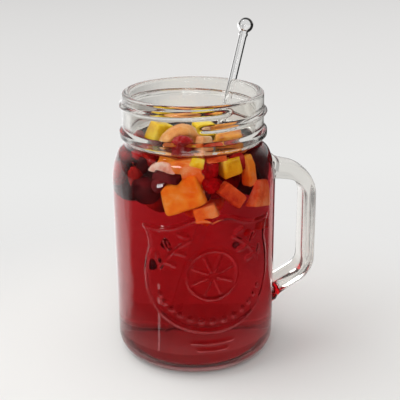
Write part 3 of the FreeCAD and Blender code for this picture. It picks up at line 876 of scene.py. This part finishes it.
class SODA_OT_floating(bpy.types.Operator):
    """Make the fruit that stands out of the surface, one piece for each node"""
    bl_idname = "soda.floating"
    bl_label = "Floating fruit"

    def execute(self, context):
        chunks = {
            "mango_left": ("mango", (10.5, 9.0, 10.0), (20, 14, 8), 11),
            "mango_right": ("mango", (11.5, 9.0, 8.5), (8, -6, 10), 12),
            "peach_chunk": ("peach", (13.5, 9.0, 8.5), (-6, 5, 14), 13),
            "apple_cube": ("apple", (6.8, 6.8, 7.2), (24, 8, -10), 14),
        }
        for node, (kind, size, turn, seed) in chunks.items():
            shape = cut_chunk(size, middle_of(node), turn, seed)
            dress(new_piece(node + "_cut", [shape], fruit_look(kind)), kind, node)
        centre = middle_of("melon_wedge")
        centre[2] = node_box("melon_wedge")[0][2] + 1.6
        shape = fruit_slice(11.0, 1.0, 50.0, centre, (10, 6, 12), 15)
        dress(new_piece("melon_slice", [shape], fruit_look("melon")), "melon", "melon_wedge")
        shape = raspberry(10.5, 4.6, middle_of("raspberry"), (15, 80, 0), 16)
        berry = new_piece("raspberry_whole", [shape], fruit_look("raspberry"))
        dress(berry, "raspberry", "raspberry")
        shape = half_strawberry(5.0, 9.0, middle_of("strawberry"), (70, 0, -30), 17)
        half = new_piece("strawberry_half", [shape], fruit_look("strawberry"))
        dress(half, "strawberry", "strawberry")
        return {"FINISHED"}


# Fruit sunk in the soda behind the front of the glass: name, kind, shape, size, middle and turns, in
# millimetres and degrees.  A chunk's fourth size is how much it narrows upwards.
SUNK = (
    ("papaya_cube_large", "papaya_pale", "chunk", (18.6, 11.0, 13.4), (-9.4, -24.2, 89.4), (-20, -18, -6)),
    ("papaya_stub", "papaya", "chunk", (10.6, 6.0, 7.0), (-1.2, -29.2, 81.9), (-4, -17, 0)),
    ("orange_slab", "papaya", "chunk", (15.5, 7.0, 13.0), (-7.0, -24.0, 102.6), (-14, -8, 6)),
    ("mango_under_bead", "mango", "chunk", (6.5, 5.0, 6.5), (-4.0, -26.8, 105.8), (-10, 10, 0)),
    ("melon_under_bead", "peach", "chunk", (8.5, 6.0, 7.0), (-15.5, -20.5, 105.5), (-36, 12, 0)),
    ("papaya_under_bead", "papaya_red", "chunk", (10.0, 5.0, 4.6), (4.4, -27.0, 105.6), (6, -6, 0)),
    ("plum_cut_flesh", "plum_flesh", "chunk", (14.5, 4.0, 4.8, 0.4), (-19.0, -24.1, 101.0), (-38, 6, 16)),
    ("plum_cut_rind", "plum", "chunk", (12.5, 5.0, 3.4), (-17.0, -24.4, 97.7), (-36, 6, 12)),
    ("plum_large_left", "plum", "round", (14.0, 12.0, 12.0), (-23.6, -15.0, 89.6), (0, 20, 0)),
    ("plum_small_left", "plum", "round", (6.0, 5.5, 8.0), (-26.7, -13.8, 99.7), (0, 14, 0)),
    ("plum_small_middle", "plum", "round", (6.6, 6.0, 7.0), (-20.0, -22.3, 93.8), (0, 30, 0)),
    ("strawberry_left_high", "strawberry", "half", (4.6, 8.0), (-26.0, -15.0, 104.5), (-60, 60, 20)),
    ("strawberry_left_far", "raspberry", "berry", (10.0, 4.6), (-30.5, -8.0, 102.5), (-80, 50, 0)),
    ("strawberry_left_low", "strawberry", "half", (4.6, 8.0), (-28.7, -12.0, 95.0), (-70, 110, 0)),
    ("raspberry_high", "raspberry", "berry", (8.4, 4.0), (1.4, -29.0, 100.0), (0, 60, 0)),
    ("raspberry_low", "raspberry", "berry", (8.0, 3.9), (1.2, -28.0, 94.4), (0, -40, 0)),
    ("mango_cube_right", "mango", "chunk", (9.4, 7.0, 8.6), (12.6, -27.6, 100.3), (20, -3, 0)),
    ("strawberry_right_high", "strawberry", "half", (5.0, 9.0), (14.0, -25.0, 105.5), (30, 80, 10)),
    ("peach_stick", "papaya_pale", "chunk", (5.4, 5.0, 14.0), (21.8, -22.6, 96.8), (42, -6, 4)),
    ("plum_large_right", "plum", "round", (11.0, 10.5, 18.0), (28.0, -12.4, 96.4), (0, -6, 0)),
    ("papaya_slanted", "papaya_red", "chunk", (13.5, 5.0, 6.4), (10.2, -27.6, 88.8), (18, 40, 0)),
    ("papaya_triangle", "papaya_red", "chunk", (15.5, 7.5, 12.0, 0.3), (24.4, -19.2, 85.6), (50, 16, 0)),
    ("plum_sliver", "plum", "round", (2.6, 2.6, 5.4), (-0.2, -28.4, 89.6), (0, 10, 0)),
    ("strawberry_behind", "strawberry", "half", (5.4, 9.0), (3.6, -23.0, 90.5), (0, 30, 0)),
    ("blueberry_low", "blueberry", "round", (5.6, 5.6, 5.2), (-22.2, -16.8, 54.0), (0, 60, 20)),
    ("herb_scrap", "blueberry", "round", (3.4, 1.0, 5.0), (-17.0, -20.0, 64.7), (-30, 20, 20)),
    ("blueberry_right", "blueberry", "round", (3.6, 3.6, 3.4), (12.1, -26.9, 64.1), (0, 20, 50)),
    ("berry_scrap", "raspberry", "round", (4.6, 3.0, 4.0), (18.0, -22.6, 68.0), (30, 20, 0)),
    ("papaya_low_right", "strawberry", "chunk", (7.0, 5.0, 5.0), (25.0, -14.6, 69.0), (50, 10, 0)),
)


def sunk_shape(shape, size, middle, turn, seed):
    """A sunk piece of the named shape, kept inside the drink."""
    if shape == "chunk":
        taper = size[3] if len(size) > 3 else 0.05
        made = cut_chunk(size[:3], middle, turn, seed, taper)
    elif shape == "round":
        made = round_fruit(size, middle, turn, seed)
    elif shape == "half":
        made = half_strawberry(size[0], size[1], middle, turn, seed)
    else:
        made = raspberry(size[0], size[1], middle, turn, seed)
    return clear_of_wall(made)


def crowd(count, seed, front):
    """Seeded places for the rest of the crowded fruit, at least 8.5 mm apart: in front they keep
    behind the named pieces, and in the back they come up to the wall."""
    apart, widest, low, high = 8.5, 30.0, 80.0, 102.0
    front_half, back_from = math.radians(78.0), math.radians(108.0)
    deepest = 15.0  # reach of the front ones, which leaves room for the named pieces
    draw = np.random.default_rng(seed)
    places = []
    while len(places) < count:
        turn = draw.uniform(0.0, 2.0 * math.pi)
        reach = widest * math.sqrt(draw.uniform(0.05 if front else 0.35, 1.0))
        spot = from_front(reach, turn, draw.uniform(low, high))
        aside = abs((turn + math.pi) % (2.0 * math.pi) - math.pi)
        fits = aside <= front_half and reach <= deepest if front else aside >= back_from
        if fits and all(np.linalg.norm(spot - other) > apart for other in places):
            places.append(spot)
    return places


class SODA_OT_sunk(bpy.types.Operator):
    """Make the fruit that is sunk in the soda"""
    bl_idname = "soda.sunk"
    bl_label = "Sunk fruit"

    def execute(self, context):
        slots = {"papaya": "peach", "papaya_pale": "peach", "papaya_red": "peach", "plum": "raspberry",
                 "plum_flesh": "melon", "blueberry": "raspberry"}
        for number, (name, kind, shape, size, middle, turn) in enumerate(SUNK):
            made = sunk_shape(shape, size, middle, turn, 40 + number)
            dress(new_piece(name, [made], fruit_look(kind, wet=False)), slots.get(kind, kind))
        draw = np.random.default_rng(77)
        groups = {}
        inner = ("strawberry", "raspberry", "plum", "strawberry", "papaya", "raspberry")
        outer = ("papaya", "plum", "mango", "strawberry", "peach", "raspberry", "apple", "plum")
        side = ("raspberry", "plum")
        for spots, order in ((crowd(12, 9, True), inner), (crowd(24, 10, False), outer)):
            for number, spot in enumerate(spots):
                kinds = side if order is outer and (spot[1] < 20.0 or spot[0] < -14.0) else order
                kind = kinds[number % len(kinds)]
                size = draw.uniform(8.0, 13.0, 3)
                turn = draw.uniform(-60.0, 60.0, 3)
                shape = {"plum": "round", "raspberry": "berry", "strawberry": "half"}.get(kind, "chunk")
                sizes = {"berry": (10.0, 4.6), "half": (5.4, 9.5)}.get(shape, size)
                groups.setdefault(kind, []).append(sunk_shape(shape, sizes, spot, turn, 100 + number))
        for kind, shapes in groups.items():
            dress(new_piece("crowd_" + kind, shapes, fruit_look(kind, wet=False)), slots.get(kind, kind))
        return {"FINISHED"}


# ------------------------------------------------------------------ stage
def floor_material():
    """Matt white card.  Near the object it is lit and shaded by the lamps; farther off, what the
    eye and the glass see of it is a glow of painted light, palest a little behind the object and
    darker nearer and farther, where the lamps' light falls off."""
    material, tree = new_material("white_card_matt")
    place = add(tree, "ShaderNodeTexCoord").outputs["Object"]
    split = add(tree, "ShaderNodeSeparateXYZ", [("Vector", place)])
    back = add(tree, "ShaderNodeMapRange", [("Value", split.outputs["Y"])], From_Min=-0.3, From_Max=1.5)
    painted_glow = add(tree, "ShaderNodeValToRGB", [("Fac", back)],
                stops=[(0.0, "E5E3E2"), (0.17, "E7E6E5"), (0.32, "EAEAE9"), (0.50, "E5E4E3"),
                       (1.0, "D8D7D6")])
    cloth = add(tree, "ShaderNodeBsdfDiffuse", Color=linear("E4E3E1"))
    # The far floor glows with painted light rather than being lit by the lamps.
    plain = add(tree, "ShaderNodeEmission", [("Color", painted_glow)])
    away = add(tree, "ShaderNodeVectorMath", [(0, place)], operation="LENGTH")
    far = add(tree, "ShaderNodeMapRange", [("Value", away.outputs["Value"])],
              interpolation_type="SMOOTHSTEP", From_Min=0.08, From_Max=0.19)
    both = add(tree, "ShaderNodeMixShader", [("Fac", far), (1, cloth), (2, plain)])
    seen = by_ray(tree, cloth, ("Camera", both), ("Transmission", both), ("Glossy", both))
    add(tree, "ShaderNodeOutputMaterial", [("Surface", seen)])
    return material


def soft_lamp(name, size, power, place, aim=(0.0, 0.0, 0.06)):
    """A rectangular softbox at a place in metres that faces the aim."""
    data = bpy.data.lights.new(name, "AREA")
    data.shape = "RECTANGLE"
    data.size, data.size_y = size
    data.energy = power
    lamp = bpy.data.objects.new(name, data)
    bpy.context.collection.objects.link(lamp)
    lamp.location = place
    back = np.array(place) - np.array(aim)
    back /= np.linalg.norm(back)
    side = np.cross([0.0, 0.0, 1.0], back)
    side /= np.linalg.norm(side)
    up = np.cross(back, side)
    lamp.matrix_world = Matrix.LocRotScale(
        place, Matrix(np.stack([side, up, back], 1).tolist()).to_quaternion(), None)
    return lamp


def stage_hidden(piece, *rays):
    """Puts a piece on the stage, hidden from the kinds of ray that are named."""
    for ray in rays:
        setattr(piece, "visible_" + ray, False)


def card(name, reach, sweep, height, strength, fade, through=0.0, bend=()):
    """A glowing sheet lying round the object, seen in the glass but lighting nothing: its glow is
    painted light and shade, dark or pale, for what stands about the glass in a room.  It is a ring
    sector, from and to a radius in mm and from and to an angle in degrees from -Y towards +X, and
    its share fades to nothing over the given degrees at both ends.  Where bend gives pairs of
    radius and angle, the sector ends at that angle instead.  It only shows in gloss, or only
    through fewer than the given number of glass faces: through two, it is what the far face of a
    wall mirrors."""
    radius = np.geomspace(*reach, 33)[:, None]
    last = np.interp(radius, *zip(*(bend or [(0.0, sweep[1])])))
    degrees = sweep[0] + np.linspace(0.0, 1.0, 61) * (last - sweep[0])
    grid = from_front(radius, np.radians(degrees), height)
    share = smooth(0.0, fade, degrees - sweep[0]) * smooth(0.0, fade, last - degrees)
    share = share * smooth(reach[0], 2.2 * reach[0], radius) ** 0.5
    material, tree = new_material(name + "_card")
    covered = add(tree, "ShaderNodeAttribute", attribute_name="share")
    glow = add(tree, "ShaderNodeEmission", Color=(strength, strength, strength))
    clear = add(tree, "ShaderNodeBsdfTransparent")
    path = add(tree, "ShaderNodeLightPath")
    mirrored = add(tree, "ShaderNodeMath", [(0, path.outputs["Transmission Depth"])],
                   [(1, max(through, 0.5))], operation="LESS_THAN")
    both = add(tree, "ShaderNodeMath", [(0, covered.outputs["Fac"]), (1, mirrored)], operation="MULTIPLY")
    mix = add(tree, "ShaderNodeMixShader", [("Fac", both), (1, clear), (2, glow)])
    add(tree, "ShaderNodeOutputMaterial", [("Surface", mix)])
    faces = grid_faces(*degrees.shape, wrap=False).tolist()
    piece = new_piece(name, [(grid.reshape(-1, 3), faces)], material)
    piece.data.attributes.new("share", "FLOAT", "POINT").data.foreach_set("value", share.ravel())
    stage_hidden(piece, "camera", "diffuse", "shadow", "volume_scatter",
                 "glossy" if through else "transmission")


def window(name, corners, strength):
    """A bright pane that only shows in gloss, through its four corners in mm, one after another."""
    material, tree = new_material(name + "_pane")
    glow = add(tree, "ShaderNodeEmission", Color=(1.0, 1.0, 1.0), Strength=strength)
    add(tree, "ShaderNodeOutputMaterial", [("Surface", glow)])
    piece = new_piece(name, [(np.array(corners, float), [[0, 1, 2, 3]])], material)
    stage_hidden(piece, "camera", "diffuse", "transmission", "shadow", "volume_scatter")


def studio_world():
    """A pale room.  What gloss sees of it is pale behind the object, dark grey overhead and dark in
    front, where the viewer stands."""
    world = bpy.data.worlds.new("studio")
    bpy.context.scene.world = world
    world.use_nodes = True
    tree = world.node_tree
    tree.nodes.clear()
    place = add(tree, "ShaderNodeTexCoord")
    split = add(tree, "ShaderNodeSeparateXYZ", [("Vector", place.outputs["Generated"])])
    depth = add(tree, "ShaderNodeMapRange", [("Value", split.outputs["Y"])], From_Min=-0.6, From_Max=0.8)
    walls = add(tree, "ShaderNodeValToRGB", [("Fac", depth)],
                stops=[(0.0, "141414"), (0.35, "222120"), (0.75, "4A4948"), (0.95, "DCDBDA")])
    height = add(tree, "ShaderNodeMapRange", [("Value", split.outputs["Z"])], From_Min=0.62, From_Max=0.98)
    roof = add(tree, "ShaderNodeMix", [("Factor", height), (6, walls)],
               [(7, (*linear("3C3C3C"), 1.0))], data_type="RGBA")
    nearness = add(tree, "ShaderNodeMapRange", [("Value", split.outputs["Y"])],
                   From_Min=-0.5, From_Max=0.6)
    through = add(tree, "ShaderNodeValToRGB", [("Fac", nearness)],
                  stops=[(0.0, "6A6968"), (0.5, "B0AFAE"), (0.8, "DFDFDE")])
    light = add(tree, "ShaderNodeBackground", Color=linear("F6F5F4"), Strength=0.56)
    mirrored = add(tree, "ShaderNodeBackground", [("Color", roof.outputs[2])], Strength=1.0)
    beyond = add(tree, "ShaderNodeBackground", [("Color", through)], Strength=1.0)
    plain = add(tree, "ShaderNodeBackground", Color=linear("DFDFDE"), Strength=1.0)
    seen = by_ray(tree, light, ("Glossy", mirrored), ("Transmission", beyond), ("Camera", plain))
    add(tree, "ShaderNodeOutputWorld", [("Surface", seen)])


def studio_camera():
    """The camera: 0.41 m away, 19.5 degrees down, turned 12 degrees from the front towards -X.  Its
    axes are worked out for a view along Y, panned and leaned a little, and then turned about Z."""
    distance, height, front_turn = 0.4140, 0.2235, -12.0
    down, pan, lean = 0.3403, 0.007, 0.010
    data = bpy.data.cameras.new("camera")
    data.lens, data.sensor_width = 81.0, 36.0
    data.clip_start, data.clip_end = 0.01, 20.0
    camera = bpy.data.objects.new("camera", data)
    bpy.context.collection.objects.link(camera)
    ahead = np.array([math.sin(pan) * math.cos(down), math.cos(pan) * math.cos(down), -math.sin(down)])
    right = np.array([math.cos(pan), -math.sin(pan), 0.0])
    up = np.cross(right, ahead)
    right, up = (math.cos(lean) * right - math.sin(lean) * up,
                 math.sin(lean) * right + math.cos(lean) * up)
    turned = rotation(front_turn, 0, 0)
    axes = Matrix((turned @ np.stack([right, up, -ahead], 1)).tolist())
    camera.matrix_world = Matrix.LocRotScale(turned @ np.array([0.0, -distance, height]),
                                             axes.to_quaternion(), None)
    bpy.context.scene.camera = camera


class SODA_OT_stage(bpy.types.Operator):
    """Make the white floor, the lamps, the room and the camera"""
    bl_idname = "soda.stage"
    bl_label = "Stage"

    def execute(self, context):
        under = 0.02
        rings = np.array([(radius, -under) for radius in (0.01, 60.0, 400.0, 1200.0, 6000.0)])
        grid = turned_about(rings[::-1], 96)
        faces = grid_faces(*grid.shape[:2]).tolist()
        floor = new_piece("floor", [(grid.reshape(-1, 3), faces)], floor_material())
        for lamp in (soft_lamp("overhead", (1.0, 1.0), 7.6, (-0.55, 0.25, 1.1)),
                     soft_lamp("window_left", (0.35, 0.8), 2.0, (-0.85, -0.25, 0.55)),
                     soft_lamp("front_fill", (0.7, 0.5), 4.6, (-0.2, -0.9, 0.55))):
            lamp.visible_glossy = False
        # Painted reflections and painted shade: a dark sheet in front, where the room is in shade, a pale
        # one to the left, and dark ones seen through the glass.
        card("front_dark", (46.0, 6200.0), (-111.0, 158.0), 0.3, 0.02, 8.0)
        card("left_pale", (50.0, 6200.0), (-200.0, -106.0), 0.3, 1.3, 6.0,
             bend=[(60.0, -92.0), (110.0, -96.0), (180.0, -105.0), (240.0, -117.0), (400.0, -122.0)])
        card("front_mirrored", (120.0, 6200.0), (-80.0, 42.0), 0.25, 0.05, 14.0, through=2.5)
        card("back_left_flag", (62.0, 1500.0), (-190.0, -156.0), 0.35, 0.5, 9.0, through=99.0)
        window("tall_window", [(-44.9, -39.0, 0.4), (-46.1, -37.4, 0.4), (-117.4, -68.6, 0.4),
                               (-114.0, -75.4, 0.4)], 2.2)
        window("tube", [(-363, -25, 1020), (-225, -125, 1040), (-160, -30, 1040), (-300, 70, 1020)], 9.0)
        window("spot", [(-650, -335, 105), (-590, -428, 150), (-590, -428, 215), (-650, -335, 165)], 12.0)
        studio_world()
        studio_camera()
        scene = context.scene
        scene.view_settings.view_transform = "Standard"
        scene.cycles.max_bounces = 24
        scene.cycles.transmission_bounces = 20
        scene.cycles.glossy_bounces = 8
        scene.cycles.diffuse_bounces = 4
        scene.cycles.transparent_max_bounces = 24
        scene.cycles.caustics_reflective = False
        scene.cycles.caustics_refractive = False
        return {"FINISHED"}


# ------------------------------------------------------------------ panel and registration
class SODA_PT_panel(bpy.types.Panel):
    """Lists the steps that build the drink, and the sizes and colours they read"""
    bl_label = "Fruit soda"
    bl_idname = "SODA_PT_panel"
    bl_space_type = "VIEW_3D"
    bl_region_type = "UI"
    bl_category = "Soda"

    def draw(self, context):
        for step in STEPS:
            self.layout.operator(step.bl_idname)
        for group in GROUPS:
            settings = getattr(context.scene, group)
            for name in settings.bl_rna.properties.keys():
                if name not in ("rna_type", "name"):
                    self.layout.prop(settings, name)


GROUPS = {"soda_glass": SODA_PG_glass, "soda_drink": SODA_PG_drink, "soda_fruit": SODA_PG_fruit}
STEPS = (SODA_OT_glass, SODA_OT_drink, SODA_OT_stirrer, SODA_OT_floating, SODA_OT_sunk, SODA_OT_stage)
CLASSES = (*GROUPS.values(), *STEPS, SODA_PT_panel)


def register():
    for item in CLASSES:
        bpy.utils.register_class(item)
    for name, group in GROUPS.items():
        setattr(bpy.types.Scene, name, bpy.props.PointerProperty(type=group))


def unregister():
    for name in GROUPS:
        delattr(bpy.types.Scene, name)
    for item in reversed(CLASSES):
        bpy.utils.unregister_class(item)


def main():
    """Registers the classes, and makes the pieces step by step."""
    register()
    for step in STEPS:
        family, name = step.bl_idname.split(".")
        getattr(getattr(bpy.ops, family), name)()


if __name__ == "__main__":
    main()
